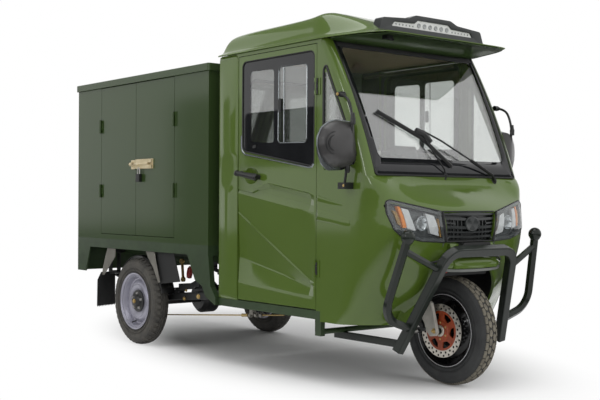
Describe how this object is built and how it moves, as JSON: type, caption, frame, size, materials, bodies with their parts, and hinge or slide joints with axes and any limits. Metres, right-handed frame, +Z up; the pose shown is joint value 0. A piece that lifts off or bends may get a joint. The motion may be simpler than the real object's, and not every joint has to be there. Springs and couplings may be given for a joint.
{
  "type": "electric cargo tricycle",
  "caption": "Three-wheeled electric cargo vehicle with an enclosed cab, bull bar and a rear van body with side doors.",
  "frame": {"origin": "on the ground, midway along the overall length and across the width", "axes": "+X forward, +Y to the driver's left, +Z up"},
  "size_m": [2.993, 1.3818, 1.745],
  "materials": {
    "body_green": "gloss",
    "box_green": "satin",
    "shell_green": "gloss",
    "frame_green": "satin",
    "bar_dark": "gloss",
    "black_plastic": "matte",
    "grey_plastic": "matte",
    "interior": "matte",
    "seat": "satin",
    "tyre": "matte",
    "rim_silver": "satin",
    "rim_black": "gloss",
    "steel": "satin",
    "black_steel": "satin",
    "zinc": "satin",
    "glass": "gloss",
    "lamp": "gloss",
    "lamp_red": "gloss"
  },
  "bodies": {
    "vehicle": {"chassis_frame": "frame_green", "bed_frame": "box_green", "box_floor": "box_green", "box_end_walls": "box_green", "box_lid": "box_green", "box_sides": "box_green", "cab_floor": "black_plastic", "cab_rear_wall": "body_green", "spring_hangers": "frame_green", "bed_gussets": "frame_green", "steering_neck": "frame_green", "cab_sides": "body_green", "cab_front_shell": "shell_green", "cab_roof": "shell_green", "headliner": "interior", "windshield": "glass", "cab_fixed_windows": "glass", "grille": "black_plastic", "headlamps": "lamp", "light_bar": "black_plastic", "bull_bar": "bar_dark", "mirrors": "grey_plastic", "front_wheel_arch": "black_plastic", "dashboard": "black_plastic", "seat_base": "black_plastic", "seat_cushions": "seat", "battery_pack": "black_plastic", "rear_axle": "black_steel", "leaf_springs": "black_steel", "mudguards": "black_steel", "tail_lamps": "lamp_red"},
    "steering": {"front_fork": "steel", "handlebar": "black_steel"},
    "front_wheel": {"front_tyre": "tyre", "front_rim": "rim_black", "front_brake_disc": "steel"},
    "rear_wheel_right": {"rear_tyre_right": "tyre", "rear_rim_right": "rim_silver"},
    "cab_door_right": {"cab_door_right": "body_green", "cab_door_glass_right": "glass", "cab_door_handle_right": "black_plastic"},
    "box_leaf_rear_right": {"box_door_rear_right": "box_green"},
    "box_leaf_front_right": {"box_door_front_right": "box_green", "slide_bolt_right": "zinc"},
    "rear_wheel_left": {"rear_tyre_left": "tyre", "rear_rim_left": "rim_silver"},
    "cab_door_left": {"cab_door_left": "body_green", "cab_door_glass_left": "glass", "cab_door_handle_left": "black_plastic"},
    "box_leaf_rear_left": {"box_door_rear_left": "box_green"},
    "box_leaf_front_left": {"box_door_front_left": "box_green", "slide_bolt_left": "zinc"}
  },
  "joints": [
    {"name": "steer", "type": "hinge", "parent": "vehicle", "child": "steering", "pos_m": [1.20391, 0, 0.24132], "axis": [-0.342, 0, 0.9397], "range_deg": [-38, 38]},
    {"name": "front_wheel_spin", "type": "hinge", "parent": "steering", "child": "front_wheel", "pos_m": [1.2415, 0, 0.255], "axis": [0, 1, 0], "continuous": true},
    {"name": "rear_wheel_right_spin", "type": "hinge", "parent": "vehicle", "child": "rear_wheel_right", "pos_m": [-0.7895, -0.47, 0.255], "axis": [0, 1, 0], "continuous": true},
    {"name": "cab_door_right_swing", "type": "hinge", "parent": "vehicle", "child": "cab_door_right", "pos_m": [0.8705, -0.519, 0.343], "axis": [0, 0, 1], "range_deg": [0, 70]},
    {"name": "box_leaf_rear_right_swing", "type": "hinge", "parent": "vehicle", "child": "box_leaf_rear_right", "pos_m": [-1.176, -0.539, 0.641], "axis": [0, 0, -1], "range_deg": [0, 165]},
    {"name": "box_leaf_front_right_swing", "type": "hinge", "parent": "vehicle", "child": "box_leaf_front_right", "pos_m": [-0.333, -0.539, 0.641], "axis": [0, 0, 1], "range_deg": [0, 165]},
    {"name": "rear_wheel_left_spin", "type": "hinge", "parent": "vehicle", "child": "rear_wheel_left", "pos_m": [-0.7895, 0.47, 0.255], "axis": [0, 1, 0], "continuous": true},
    {"name": "cab_door_left_swing", "type": "hinge", "parent": "vehicle", "child": "cab_door_left", "pos_m": [0.8705, 0.519, 0.343], "axis": [0, 0, -1], "range_deg": [0, 70]},
    {"name": "box_leaf_rear_left_swing", "type": "hinge", "parent": "vehicle", "child": "box_leaf_rear_left", "pos_m": [-1.176, 0.539, 0.641], "axis": [0, 0, 1], "range_deg": [0, 165]},
    {"name": "box_leaf_front_left_swing", "type": "hinge", "parent": "vehicle", "child": "box_leaf_front_left", "pos_m": [-0.333, 0.539, 0.641], "axis": [0, 0, -1], "range_deg": [0, 165]}
  ]
}
